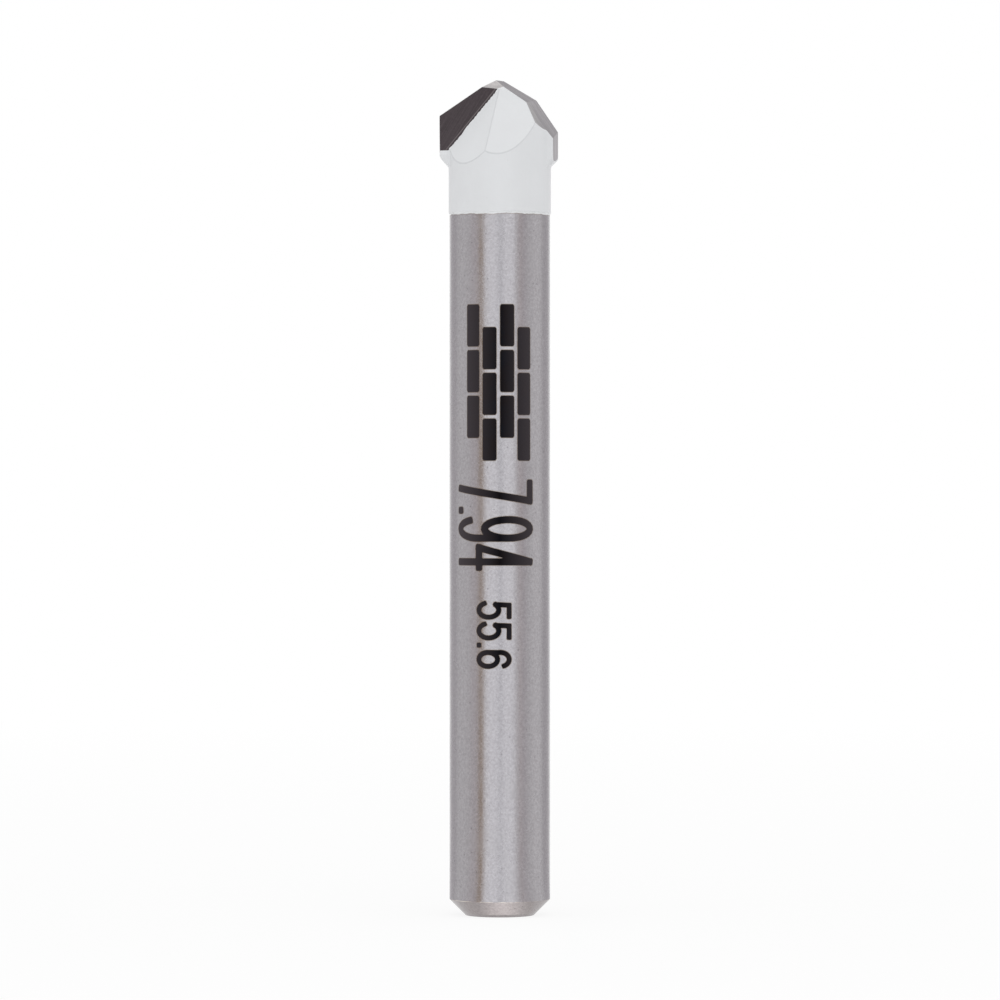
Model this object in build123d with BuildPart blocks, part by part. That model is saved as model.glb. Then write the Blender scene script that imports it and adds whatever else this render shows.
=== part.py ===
from build123d import *
from math import cos, hypot, radians, sin, tan
import os

os.makedirs("parts", exist_ok=True)

# A short masonry bit, standing on its tail. Sizes are millimetres and degrees. Z is the drill's axis,
# with the tail face at zero. Azimuths are measured round the axis from +X, and -90 is the front.

# Overall sizes
overall_length = 55.6
cutting_diameter = 7.94
head_length = 8.1

# Shank and joint. The shank clears the drilled hole all round.
shank_clearance = 0.62
tail_chamfer = 1.07
joint_thickness = 0.1
joint_recess = 0.03

# Paint
paint_thickness = 0.06
paint_overlap = 0.78
paint_edge_rounding = 0.04

# Neck and wings of the pressed blank. The wings are pressed oversize and ground to the margins.
neck_length = 2.36
grinding_allowance = 0.08
leading_azimuth = 251.0
leading_distance = 1.815
trailing_azimuth = 110.0
trailing_distance = 2.247
wing_root_fillet = 0.4
foot_slope = 45.0
foot_rounding = 1.2
foot_root_fillet = 0.25
foot_corner_fillet = 0.4

# Pyramid faces pressed into the tip, each one twice, on opposite sides. A face is given by the height
# above the tip at which it crosses the axis, the azimuth towards which it falls, and its slope.
valley_face = (0.85, 225.5, 62.8)
front_face = (1.43, 266.5, 62.8)

# Faces ground on the tip, given in the same way. The two reliefs fall exactly opposite ways, which
# keeps the chisel edge between them level.
plain_relief = (0.0, 150.1, 34.4)
bevelled_relief = (0.0, 330.1, 33.5)
corner_bevel = (2.27, 336.5, 59.3)
centre_gash = (0.48, 256.9, 46.0)

# Rake planes, given by their distance from the axis at the tip, their azimuth and how far they lean back
plain_rake = (0.933, 251.0, 10.65)
bevelled_rake = (0.52, 77.6, 12.9)

# Outer grinding. The circle of the margins runs a little off centre, and each wing has a side face
# that falls back behind its cutting corner.
margin_runout = 0.047
side_clearance_azimuth = 167.6
plain_side_inset = 0.07
bevelled_side_inset = 0.283

# Worked out from the sizes above
half_turn = 180.0
cutting_radius = cutting_diameter / 2
shank_radius = cutting_radius - shank_clearance
neck_radius = shank_radius
blank_wing_radius = cutting_radius + grinding_allowance
joint_top = overall_length - head_length
shank_top = joint_top - joint_thickness
paint_edge = joint_top - paint_overlap
foot_height = joint_top + neck_length
stock_reach = 3 * blank_wing_radius
stock_top = overall_length + stock_reach


def turned(face):
    """The same face on the opposite side of the axis."""
    first, azimuth, angle = face
    return (first, azimuth + half_turn, angle)


def falling_plane(face, grow=0.0):
    """A plane that crosses the axis above the tip and falls away from it, facing upwards."""
    rise, azimuth, slope = face
    height = overall_length + rise + grow / cos(radians(slope))
    tilt = sin(radians(slope))
    return Plane(
        origin=(0, 0, height),
        z_dir=(tilt * cos(radians(azimuth)), tilt * sin(radians(azimuth)), cos(radians(slope))),
    )


def steep_plane(face):
    """A plane at a distance from the axis, measured at the tip, that leans back and faces outwards."""
    distance, azimuth, lean = face
    across = (cos(radians(azimuth)), sin(radians(azimuth)))
    return Plane(
        origin=(distance * across[0], distance * across[1], overall_length),
        z_dir=(cos(radians(lean)) * across[0], cos(radians(lean)) * across[1], sin(radians(lean))),
    )


def plan_point(distance, azimuth, along):
    """A point of an upright face in plan, some way along it from where it is nearest the axis."""
    angle = radians(azimuth)
    return (distance * cos(angle) - along * sin(angle), distance * sin(angle) + along * cos(angle))


def from_axis(edge):
    """How far the middle of an edge is from the axis."""
    return hypot(edge.center().X, edge.center().Y)


def trailing(edge):
    """Whether an edge is on the trailing side of a wing, clear of the seams of the round faces."""
    return edge.center().X * edge.center().Y < -(neck_radius**2) / 8


def pressed_blank(grow, base):
    """The pressed head before grinding, or its painted size: two wings, cut to a turned outline that
    gives them their feet, joined to a round neck that starts at the base."""
    neck = neck_radius + grow
    wing = blank_wing_radius + grow
    lead = leading_distance + grow
    trail = trailing_distance + grow
    foot = foot_height - grow * (1 / cos(radians(foot_slope)) - tan(radians(foot_slope)))
    shoulder = foot + (wing - neck) * tan(radians(foot_slope))

    with BuildPart() as outline:
        with BuildSketch(Plane.XZ) as section:
            Polygon(
                (0, joint_top),
                (neck, joint_top),
                (neck, foot),
                (wing, shoulder),
                (wing, stock_top),
                (0, stock_top),
                align=None,
            )
            fillet(section.vertices().sort_by_distance((neck, foot))[0], foot_root_fillet)
            fillet(section.vertices().sort_by_distance((wing, shoulder))[0], foot_rounding + grow)
        revolve(axis=Axis.Z)

    with BuildPart() as blank:
        with BuildSketch(Plane.XY.offset(joint_top)):
            for turn in (0.0, half_turn):
                Polygon(
                    (0, 0),
                    plan_point(lead, leading_azimuth + turn, 0),
                    plan_point(lead, leading_azimuth + turn, -wing),
                    plan_point(trail, trailing_azimuth + turn, wing),
                    plan_point(trail, trailing_azimuth + turn, 0),
                    align=None,
                )
        extrude(amount=stock_top - joint_top)
        add(outline.part, mode=Mode.INTERSECT)
        with BuildSketch(Plane.XY.offset(base)):
            Circle(neck)
        extrude(amount=stock_top - base)
        upright = blank.edges().filter_by(trailing).filter_by(GeomType.LINE).filter_by(Axis.Z)
        fillet(upright.sort_by(from_axis)[:2], wing_root_fillet)
        curved = blank.edges().filter_by(trailing).filter_by(GeomType.HYPERBOLA)
        curved += blank.edges().filter_by(trailing).filter_by(GeomType.BSPLINE)
        fillet(curved.sort_by(from_axis)[-4:], foot_corner_fillet)
    return blank.part


def valley(face, rake, grow):
    """What lies above a valley face and in front of a rake plane, which the wing is cleared of."""
    with BuildPart() as region:
        with Locations((0, 0, overall_length)):
            Box(stock_reach, stock_reach, stock_reach)
        split(bisect_by=falling_plane(face, grow), keep=Keep.TOP)
        split(bisect_by=steep_plane(rake), keep=Keep.TOP)
    return region.part


def ground_head(grow, base):
    """The pressed head, or its painted size, after every ground face has been cut."""
    with BuildPart() as head:
        add(pressed_blank(grow, base))
        split(bisect_by=falling_plane(front_face, grow), keep=Keep.BOTTOM)
        split(bisect_by=falling_plane(turned(front_face), grow), keep=Keep.BOTTOM)
        for face in (plain_relief, bevelled_relief, corner_bevel, centre_gash):
            split(bisect_by=falling_plane(face), keep=Keep.BOTTOM)
        add(valley(valley_face, plain_rake, grow), mode=Mode.SUBTRACT)
        add(valley(turned(valley_face), bevelled_rake, grow), mode=Mode.SUBTRACT)
        plain_side = (cutting_radius - plain_side_inset, side_clearance_azimuth, 0.0)
        bevelled_side = (cutting_radius - bevelled_side_inset, side_clearance_azimuth + half_turn, 0.0)
        split(bisect_by=steep_plane(plain_side), keep=Keep.BOTTOM)
        split(bisect_by=steep_plane(bevelled_side), keep=Keep.BOTTOM)
        with BuildSketch(Plane.XY.offset(base)):
            with Locations((-margin_runout, 0)):
                Circle(cutting_radius)
        extrude(amount=stock_top - base, mode=Mode.INTERSECT)
    return head.part


# The shank: a round bar with a chamfered tail.
with BuildPart() as shank:
    with BuildSketch():
        Circle(shank_radius)
    extrude(amount=shank_top)
    chamfer(shank.edges().group_by(Axis.Z)[0], tail_chamfer)

# The braze metal between the shank and the head, its rim a little short of the surface.
with BuildPart() as braze_joint:
    with BuildSketch(Plane.XY.offset(shank_top)):
        Circle(neck_radius - joint_recess)
    extrude(amount=joint_thickness)

# The carbide head, pressed and ground.
with BuildPart() as carbide_head:
    add(ground_head(0.0, joint_top))

# The paint on the head's unground faces, over the joint and a little way down the shank. It is the
# painted size less the bare size, and both of them run down to the paint's edge.
with BuildPart() as paint_coat:
    add(ground_head(paint_thickness, paint_edge))
    add(ground_head(0.0, paint_edge), mode=Mode.SUBTRACT)
    rims = paint_coat.edges().filter_by(GeomType.CIRCLE).group_by(Axis.Z)[0]
    fillet(rims.sort_by(SortBy.RADIUS)[-1], paint_edge_rounding)

shank.part.label = "shank"
braze_joint.part.label = "braze_joint"
carbide_head.part.label = "carbide_head"
paint_coat.part.label = "paint_coat"

export_step(shank.part, "parts/shank.step")
export_step(braze_joint.part, "parts/braze_joint.step")
export_step(carbide_head.part, "parts/carbide_head.step")
export_step(paint_coat.part, "parts/paint_coat.step")
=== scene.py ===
# %% [markdown]
# # A short masonry bit, seen from the front
# The bit is a round steel shank with a carbide head brazed on its end. The solids come from the packed
# frame. This lesson gives each of them its finish, adds the marks that a laser burns on the shank, and
# sets up a plain studio. All lengths are metres, and the drill's axis is Z.

# %% Load the frame
import math

import bpy
import numpy as np
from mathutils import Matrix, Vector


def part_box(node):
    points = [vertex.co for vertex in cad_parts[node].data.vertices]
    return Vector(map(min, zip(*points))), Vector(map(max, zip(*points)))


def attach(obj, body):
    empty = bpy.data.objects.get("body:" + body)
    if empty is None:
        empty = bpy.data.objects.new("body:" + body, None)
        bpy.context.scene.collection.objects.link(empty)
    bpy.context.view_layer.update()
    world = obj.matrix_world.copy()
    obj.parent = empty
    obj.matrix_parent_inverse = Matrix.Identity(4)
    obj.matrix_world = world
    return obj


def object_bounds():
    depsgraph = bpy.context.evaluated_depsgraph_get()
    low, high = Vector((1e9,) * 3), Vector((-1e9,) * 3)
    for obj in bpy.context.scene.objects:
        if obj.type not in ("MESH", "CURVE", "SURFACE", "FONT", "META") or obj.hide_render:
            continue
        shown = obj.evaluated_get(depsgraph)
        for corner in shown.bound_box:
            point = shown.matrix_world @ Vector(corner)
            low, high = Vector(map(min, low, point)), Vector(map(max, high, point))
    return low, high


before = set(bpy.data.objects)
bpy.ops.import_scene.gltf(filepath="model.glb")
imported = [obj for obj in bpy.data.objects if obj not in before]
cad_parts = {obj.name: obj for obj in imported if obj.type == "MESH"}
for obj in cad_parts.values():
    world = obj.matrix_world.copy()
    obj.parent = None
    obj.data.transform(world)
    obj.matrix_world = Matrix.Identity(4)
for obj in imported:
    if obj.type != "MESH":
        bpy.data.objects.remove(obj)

MM = 0.001
cad_low, cad_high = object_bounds()
cad_box = [list(cad_low), list(cad_high)]
print("nodes", sorted(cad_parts), "box", cad_box)

# %% [markdown]
# A few places on the object are needed more than once. They are read from the nodes, so that they
# follow the solids: the shank's radius, the height of the paint's lower edge and the tip.

# %% Places read from the solids
shank_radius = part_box("shank")[1].x
paint_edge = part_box("paint_coat")[0].z
tip_height = cad_box[1][2]
print("shank radius", round(shank_radius / MM, 3), "paint edge", round(paint_edge / MM, 3))

# %% [markdown]
# Several finishes share the same effects, so each effect is a node group with named sockets. These
# helpers start a group and place it in a material. A group puts out only masks and patterns, and the
# shader stays in the material.

# %% Helpers for node groups
SOCKETS = {"f": "NodeSocketFloat", "v": "NodeSocketVector"}


def start_group(name, inputs, outputs):
    tree = bpy.data.node_groups.new(name, "ShaderNodeTree")
    for label, kind, default in inputs:
        socket = tree.interface.new_socket(label, in_out="INPUT", socket_type=SOCKETS[kind])
        if default is not None:
            socket.default_value = default
    for label, kind in outputs:
        tree.interface.new_socket(label, in_out="OUTPUT", socket_type=SOCKETS[kind])
    return tree, tree.nodes.new("NodeGroupInput").outputs, tree.nodes.new("NodeGroupOutput").inputs


def feed(tree, socket, value):
    if isinstance(value, bpy.types.NodeSocket):
        tree.links.new(value, socket)
    else:
        socket.default_value = value


def set_inputs(tree, node, **values):
    """An underscore stands for a space in the name of an input."""
    for label, value in values.items():
        feed(tree, node.inputs[label.replace("_", " ")], value)


def use_group(tree, group, **values):
    node = tree.nodes.new("ShaderNodeGroup")
    node.node_tree = group
    set_inputs(tree, node, **values)
    return node.outputs


print("socket kinds", sorted(SOCKETS.values()))

# %% [markdown]
# A material has dozens of nodes, of only a few kinds. So each kind gets a helper, which takes numbers
# or sockets and gives back the socket of the result. A line of code then reads like a sum.

# %% Helpers for single nodes
def math_node(tree, operation, a, b=0.0, c=0.0, clamp=False):
    node = tree.nodes.new("ShaderNodeMath")
    node.operation, node.use_clamp = operation, clamp
    for socket, value in zip(node.inputs, (a, b, c)):
        feed(tree, socket, value)
    return node.outputs[0]


def vector_node(tree, operation, a, b=(0.0, 0.0, 0.0)):
    node = tree.nodes.new("ShaderNodeVectorMath")
    node.operation = operation
    feed(tree, node.inputs[0], a)
    feed(tree, node.inputs[1], b)
    return node.outputs["Value"] if operation in ("DOT_PRODUCT", "LENGTH") else node.outputs["Vector"]


def noise_node(tree, vector, scale, detail=2.0, roughness=0.5):
    node = tree.nodes.new("ShaderNodeTexNoise")
    set_inputs(tree, node, Vector=vector, Scale=scale, Detail=detail, Roughness=roughness)
    return node.outputs["Fac"]


def range_node(tree, value, low, high, to_low, to_high, smooth=False):
    node = tree.nodes.new("ShaderNodeMapRange")
    node.interpolation_type = "SMOOTHSTEP" if smooth else "LINEAR"
    set_inputs(tree, node, Value=value, From_Min=low, From_Max=high, To_Min=to_low, To_Max=to_high)
    return node.outputs["Result"]


def mix_node(tree, factor, a, b, blend="MIX"):
    node = tree.nodes.new("ShaderNodeMix")
    node.data_type, node.blend_type = "RGBA", blend
    set_inputs(tree, node, Factor=factor, A=a, B=b)
    return node.outputs["Result"]


def vector_of(tree, x=0.0, y=0.0, z=0.0):
    node = tree.nodes.new("ShaderNodeCombineXYZ")
    for socket, value in zip(node.inputs, (x, y, z)):
        feed(tree, socket, value)
    return node.outputs["Vector"]


def apart(tree, a, b):
    """How far two values are from each other."""
    return math_node(tree, "ABSOLUTE", math_node(tree, "SUBTRACT", a, b))


def scale_for(tree, size):
    """The scale at which a texture repeats about once in this size."""
    return math_node(tree, "DIVIDE", 1.0, size)


print("helpers ready for math, vector, noise, range and mix nodes")

# %% [markdown]
# Every finish reads Object coordinates, so that its pattern is fixed to the piece. A pattern runs from
# -1 to 1 and does two jobs: it mixes two tones, and it makes the surface a little more or less rough.

# %% Helpers for materials and objects
def start_material(name):
    material = bpy.data.materials.new(name)
    material.use_nodes = True
    tree = material.node_tree
    place = tree.nodes.new("ShaderNodeTexCoord").outputs["Object"]
    return material, tree, tree.nodes["Principled BSDF"], place


def toned(tree, pattern, contrast, middle=0.5):
    """A mix factor that a pattern moves to both sides of the middle."""
    return math_node(tree, "MULTIPLY_ADD", pattern, contrast, middle, clamp=True)


def varied(tree, pattern, sway, middle):
    """A roughness that a pattern moves by a small sway."""
    return math_node(tree, "MULTIPLY_ADD", pattern, sway, middle)


def height_above_floor(tree, place):
    return vector_node(tree, "DOT_PRODUCT", place, (0.0, 0.0, 1.0))


def add_bump(tree, shader, height, distance):
    bump = tree.nodes.new("ShaderNodeBump")
    set_inputs(tree, bump, Strength=1.0, Distance=distance, Height=height)
    set_inputs(tree, shader, Normal=bump.outputs["Normal"])


def add_object(name, data):
    piece = bpy.data.objects.new(name, data)
    bpy.context.scene.collection.objects.link(piece)
    return piece


def dress(node, material):
    """Give one of the frame's solids its finish."""
    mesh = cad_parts[node].data
    mesh.materials.clear()
    mesh.materials.append(material)
    print("material", material.name, "on", node)


print("solids to dress", len(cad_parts))

# %% [markdown]
# Blasted and ground metal both show a fine grain, with slow clouds over it where the surface is a
# little more or less matt. One group makes both from two noises, so that steel and carbide can share
# it at different sizes.

# %% Node group: metal grain
NOISE_LOW, NOISE_HIGH = 0.3, 0.7


def even_noise(tree, vector, scale, detail, roughness):
    """A noise, stretched from the range that it mostly keeps to, so that it runs from -1 to 1."""
    noise = noise_node(tree, vector, scale, detail, roughness)
    return range_node(tree, noise, NOISE_LOW, NOISE_HIGH, -1.0, 1.0)


metal_grain, given, results = start_group(
    "metal_grain",
    [("Vector", "v", None), ("Grain Size", "f", 0.1 * MM), ("Cloud Size", "f", 2.0 * MM)],
    [("Grain", "f"), ("Clouds", "f")],
)
grain_scale = scale_for(metal_grain, given["Grain Size"])
cloud_scale = scale_for(metal_grain, given["Cloud Size"])
grain = even_noise(metal_grain, given["Vector"], grain_scale, detail=3.0, roughness=0.6)
clouds = even_noise(metal_grain, given["Vector"], cloud_scale, detail=2.0, roughness=0.5)
metal_grain.links.new(grain, results["Grain"])
metal_grain.links.new(clouds, results["Clouds"])
print("group", metal_grain.name, len(metal_grain.nodes), "nodes")

# %% [markdown]
# Steel has small pits, and paint has specks of dust. Both are small spots that lie far apart, so one
# group makes them: each cell of a Voronoi texture holds one spot. The spot is whole up to its core and
# has faded out at its rim, both given as shares of a cell.

# %% Node group: specks
specks, given, results = start_group(
    "specks",
    [("Vector", "v", None), ("Spacing", "f", 0.8 * MM), ("Core", "f", 0.05), ("Rim", "f", 0.10),
     ("Strength", "f", 0.3)],
    [("Mask", "f")],
)
cells = specks.nodes.new("ShaderNodeTexVoronoi")
set_inputs(specks, cells, Vector=given["Vector"], Scale=scale_for(specks, given["Spacing"]))
spot = range_node(specks, cells.outputs["Distance"], given["Core"], given["Rim"], given["Strength"], 0.0)
specks.links.new(spot, results["Mask"])
print("group", specks.name, len(specks.nodes), "nodes")

# %% [markdown]
# The carbide head is one solid, but its faces are finished in different ways: the rake faces are
# lapped and painted dark, and the relief faces are ground grey. A face is known by the way it points,
# so this group compares the surface normal with a direction and puts out a mask. The mask rises
# steeply, so that a small error in the direction leaves no pale patch.

# %% Node group: face mask
MASK_GAIN = 3.0

face_mask, given, results = start_group(
    "face_mask", [("Direction", "v", (0.0, 0.0, 1.0)), ("Spread", "f", 0.01)], [("Mask", "f")]
)
surface_normal = face_mask.nodes.new("ShaderNodeNewGeometry").outputs["True Normal"]
facing = vector_node(face_mask, "DOT_PRODUCT", surface_normal, given["Direction"])
mask_start = math_node(face_mask, "SUBTRACT", 1.0, given["Spread"])
rising = range_node(face_mask, facing, mask_start, 1.0, 0.0, MASK_GAIN)
face_mask.links.new(math_node(face_mask, "MINIMUM", rising, 1.0), results["Mask"])
print("group", face_mask.name, len(face_mask.nodes), "nodes")

# %% [markdown]
# A wheel leaves fine lines on what it grinds. This group squeezes a noise across the lines, so that it
# changes from line to line. Along a line it changes only slowly, over a few millimetres.

# %% Node group: grinding lines
SLOW_CHANGE = 300.0

grinding_lines, given, results = start_group(
    "grinding_lines",
    [("Vector", "v", None), ("Across", "v", (0.0, 0.0, 1.0)), ("Line Width", "f", 0.05 * MM)],
    [("Lines", "f")],
)
across = vector_node(grinding_lines, "DOT_PRODUCT", given["Vector"], given["Across"])
line_number = math_node(grinding_lines, "DIVIDE", across, given["Line Width"])
drift = vector_node(grinding_lines, "SCALE", given["Vector"])
drift.node.inputs["Scale"].default_value = SLOW_CHANGE
line_place = vector_node(grinding_lines, "ADD", vector_of(grinding_lines, x=line_number), drift)
lines = even_noise(grinding_lines, line_place, 1.0, detail=2.0, roughness=0.6)
grinding_lines.links.new(lines, results["Lines"])
print("group", grinding_lines.name, len(grinding_lines.nodes), "nodes")

# %% [markdown]
# The paint was dipped or brushed on, so its lower edge wanders by a tenth of a millimetre. The coat's
# solid ends in a straight ring, and the wandering fringe below it is drawn in the steel's material:
# a mask that is one above a height, which a noise moves up and down. A second mask gives a thin
# painted shadow, a dark band just under the paint's edge.

# %% Node group: ragged edge
WAVE_LOW, WAVE_HIGH = 0.33, 0.67
EDGE_BLUR = 0.015 * MM

ragged_edge, given, results = start_group(
    "ragged_edge",
    [("Vector", "v", None), ("Edge Height", "f", 0.0), ("Depth", "f", 0.1 * MM), ("Wave Size", "f", MM),
     ("Stain Width", "f", 0.05 * MM)],
    [("Mask", "f"), ("Painted Shadow", "f")],
)
height = height_above_floor(ragged_edge, given["Vector"])
wave_scale = scale_for(ragged_edge, given["Wave Size"])
wave = noise_node(ragged_edge, given["Vector"], wave_scale, detail=4.0, roughness=0.55)
wave = range_node(ragged_edge, wave, WAVE_LOW, WAVE_HIGH, 0.0, 1.0)
dip = math_node(ragged_edge, "MULTIPLY", wave, given["Depth"])
edge_here = math_node(ragged_edge, "SUBTRACT", given["Edge Height"], dip)
above = math_node(ragged_edge, "SUBTRACT", height, edge_here)
painted = range_node(ragged_edge, above, 0.0, EDGE_BLUR, 0.0, 1.0)
# Painted shadow: a thin dark band just under the wandering edge.
shadow_start = math_node(ragged_edge, "MULTIPLY", given["Stain Width"], -1.0)
shadowed = range_node(ragged_edge, above, shadow_start, 0.0, 0.0, 1.0)
shadow_under_paint = math_node(ragged_edge, "SUBTRACT", shadowed, painted)
ragged_edge.links.new(painted, results["Mask"])
ragged_edge.links.new(shadow_under_paint, results["Painted Shadow"])
print("group", ragged_edge.name, len(ragged_edge.nodes), "nodes")

# %% [markdown]
# The head's faces are planes, each known by where it crosses the axis, the azimuth towards which it
# falls, and its slope. How far a point is from such a plane tells where two faces meet, so lines that
# follow the edges need no picture: one group measures the distance, and another draws a line
# wherever two distances are both small.

# %% Node groups: plane distance and crease
LINE_CORE = 0.4

plane_distance, given, results = start_group(
    "plane_distance", [("Vector", "v", None), ("Normal", "v", (0.0, 0.0, 1.0)), ("Offset", "f", 0.0)],
    [("Distance", "f")],
)
along = vector_node(plane_distance, "DOT_PRODUCT", given["Vector"], given["Normal"])
plane_distance.links.new(apart(plane_distance, along, given["Offset"]), results["Distance"])

crease, given, results = start_group(
    "crease", [("Distance One", "f", 1.0), ("Distance Two", "f", 1.0), ("Width", "f", 0.05 * MM)],
    [("Mask", "f")],
)
larger = math_node(crease, "MAXIMUM", given["Distance One"], given["Distance Two"])
inner = math_node(crease, "MULTIPLY", given["Width"], LINE_CORE)
crease.links.new(range_node(crease, larger, inner, given["Width"], 1.0, 0.0), results["Mask"])


def falling_plane(face, grow=0.0):
    """The normal of a plane that falls away from the axis, and its distance from the origin."""
    rise, azimuth, slope = face[0] * MM, math.radians(face[1]), math.radians(face[2])
    normal = (math.sin(slope) * math.cos(azimuth), math.sin(slope) * math.sin(azimuth), math.cos(slope))
    return normal, (tip_height + rise) * math.cos(slope) + grow


print("groups", plane_distance.name, crease.name)

# %% [markdown]
# The shank is satin steel with a faint purple cast. Its grain shows as tiny lighter and darker specks,
# so the grain moves the colour here and the bump further down. A few small pits lie between them.

# %% Shank: satin steel
STEEL_DARK = (0.277, 0.262, 0.274, 1.0)
STEEL_LIGHT = (0.421, 0.405, 0.421, 1.0)
PIT = (0.12, 0.11, 0.12, 1.0)

satin_steel, tree, shader, place = start_material("satin_steel")
grains = use_group(tree, metal_grain, Vector=place, Grain_Size=0.165 * MM, Cloud_Size=2.6 * MM)
steel_tone = mix_node(tree, toned(tree, grains["Grain"], contrast=0.30), STEEL_DARK, STEEL_LIGHT)
pits = use_group(tree, specks, Vector=place, Spacing=0.75 * MM, Core=0.05, Rim=0.10, Strength=0.45)
steel_tone = mix_node(tree, pits["Mask"], steel_tone, PIT)
print("steel from", STEEL_DARK[:3], "to", STEEL_LIGHT[:3])

# %% [markdown]
# The chamfer at the tail was turned with a tool and is a little warmer in tone. Its upper edge has a
# painted highlight, a bright line that a noise breaks up, so that it doesn't run all the way round.

# %% Shank: chamfer
CHAMFER_TOP = 1.07 * MM
CHAMFER_BLUR = 0.02 * MM
CHAMFER_TINT = (0.980, 0.942, 0.910, 1.0)
CHAMFER_EDGE_HIGHLIGHT = (0.70, 0.64, 0.57, 1.0)
HIGHLIGHT_CORE, HIGHLIGHT_RIM = 0.008 * MM, 0.030 * MM
HIGHLIGHT_STRENGTH = 0.9
PATCH_SIZE = 0.7 * MM
PATCH_LOW, PATCH_HIGH = 0.42, 0.66

height = height_above_floor(tree, place)
on_chamfer = range_node(tree, height, CHAMFER_TOP, CHAMFER_TOP + CHAMFER_BLUR, 1.0, 0.0)
steel_tone = mix_node(tree, on_chamfer, steel_tone, CHAMFER_TINT, "MULTIPLY")
# Painted highlight: a bright line along the chamfer's upper edge, broken up by a noise.
chamfer_highlight = range_node(tree, apart(tree, height, CHAMFER_TOP), HIGHLIGHT_CORE, HIGHLIGHT_RIM, 1.0, 0.0)
patches = noise_node(tree, place, 1.0 / PATCH_SIZE, detail=3.0)
broken = range_node(tree, patches, PATCH_LOW, PATCH_HIGH, 0.0, HIGHLIGHT_STRENGTH)
steel_tone = mix_node(tree, math_node(tree, "MULTIPLY", chamfer_highlight, broken), steel_tone, CHAMFER_EDGE_HIGHLIGHT)
print("chamfer up to", round(CHAMFER_TOP / MM, 2))

# %% [markdown]
# The uneven fringe of the paint lies over the upper end of the steel, with a painted shadow below it.
# Close under the coat's rim the fringe is painted lighter, a painted light that cancels the rim's shade.
# Paint isn't metal, so the fringe's mask also takes the metal's gloss away.

# %% Shank: paint fringe and finish
PAINT = (0.692, 0.703, 0.714, 1.0)
PAINT_RIM_PAINTED_LIGHT = (0.785, 0.797, 0.806, 1.0)
PAINT_ROUGHNESS = (0.4, 0.4, 0.4, 1.0)
PAINTED_SHADOW = (0.230, 0.180, 0.145, 1.0)
PAINTED_SHADOW_STRENGTH = 0.70
FRINGE_LEAST = 0.09 * MM
RIM_LIGHT_DEPTH = 0.08 * MM

fringe = use_group(
    tree, ragged_edge, Vector=place, Edge_Height=paint_edge - FRINGE_LEAST, Depth=0.10 * MM,
    Wave_Size=1.1 * MM, Stain_Width=0.06 * MM,
)
# Painted shadow under the paint's edge.
painted_shadow = math_node(tree, "MULTIPLY", fringe["Painted Shadow"], PAINTED_SHADOW_STRENGTH)
steel_tone = mix_node(tree, painted_shadow, steel_tone, PAINTED_SHADOW)
# Painted light: lighter close under the rim, to cancel the shade the rim casts there.
rim_painted_light = range_node(tree, height, paint_edge - RIM_LIGHT_DEPTH, paint_edge, 0.0, 1.0)
fringe_tone = mix_node(tree, rim_painted_light, PAINT, PAINT_RIM_PAINTED_LIGHT)
steel_tone = mix_node(tree, fringe["Mask"], steel_tone, fringe_tone)
bare = math_node(tree, "SUBTRACT", 1.0, fringe["Mask"])
roughness = varied(tree, grains["Clouds"], sway=0.03, middle=0.26)
roughness = mix_node(tree, fringe["Mask"], roughness, PAINT_ROUGHNESS)
set_inputs(tree, shader, Base_Color=steel_tone, Metallic=bare, Roughness=roughness)
add_bump(tree, shader, grains["Grain"], distance=0.0012 * MM)
dress("shank", satin_steel)

# %% [markdown]
# The braze metal is a thin disc of a pale silver alloy. The paint hides it, but it gets its finish
# all the same, so that the joint is right when the paint is taken off.

# %% Joint: braze alloy
BRAZE = (0.60, 0.54, 0.40, 1.0)
BRAZE_LIGHT = (0.74, 0.68, 0.54, 1.0)

braze_alloy, tree, shader, place = start_material("braze_alloy")
grains = use_group(tree, metal_grain, Vector=place, Grain_Size=0.08 * MM, Cloud_Size=0.7 * MM)
braze_tone = mix_node(tree, toned(tree, grains["Clouds"], contrast=0.4), BRAZE, BRAZE_LIGHT)
roughness = varied(tree, grains["Grain"], sway=0.05, middle=0.3)
set_inputs(tree, shader, Base_Color=braze_tone, Metallic=1.0, Roughness=roughness)
dress("braze_joint", braze_alloy)

# %% [markdown]
# The head is tungsten carbide. Its relief faces are ground grey, in lines along their edges. The gash
# at the centre is painted lighter, a painted reflection, and so is a strip on the corner bevel beside
# the paint. A face's direction is given as an azimuth round the axis and how far it leans back.

# %% Head: ground faces
CORNER_BEVEL = (336.5, 30.7)
CENTRE_GASH = (256.9, 44.0)
FRONT_FACE = (1.43, 266.5, 62.8)
FACE_SPREAD = 0.02
CARBIDE = (0.243, 0.228, 0.241, 1.0)
CARBIDE_LIGHT = (0.362, 0.344, 0.359, 1.0)
PAINTED_REFLECTION_TINT = (1.195, 1.22, 1.18, 1.0)
ACROSS_LINES = (0.22, 0.95, 0.21)
STRIP_WHOLE, STRIP_END = 0.58 * MM, 0.72 * MM
STRIP_STRENGTH = 0.9


def direction(azimuth, lean):
    a, b = math.radians(azimuth), math.radians(lean)
    return (math.cos(b) * math.cos(a), math.cos(b) * math.sin(a), math.sin(b))


def on_face(tree, face):
    return use_group(tree, face_mask, Direction=direction(*face), Spread=FACE_SPREAD)["Mask"]


def distance_from(tree, place, face, grow=0.0):
    normal, offset = falling_plane(face, grow)
    return use_group(tree, plane_distance, Vector=place, Normal=normal, Offset=offset)["Distance"]


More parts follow.
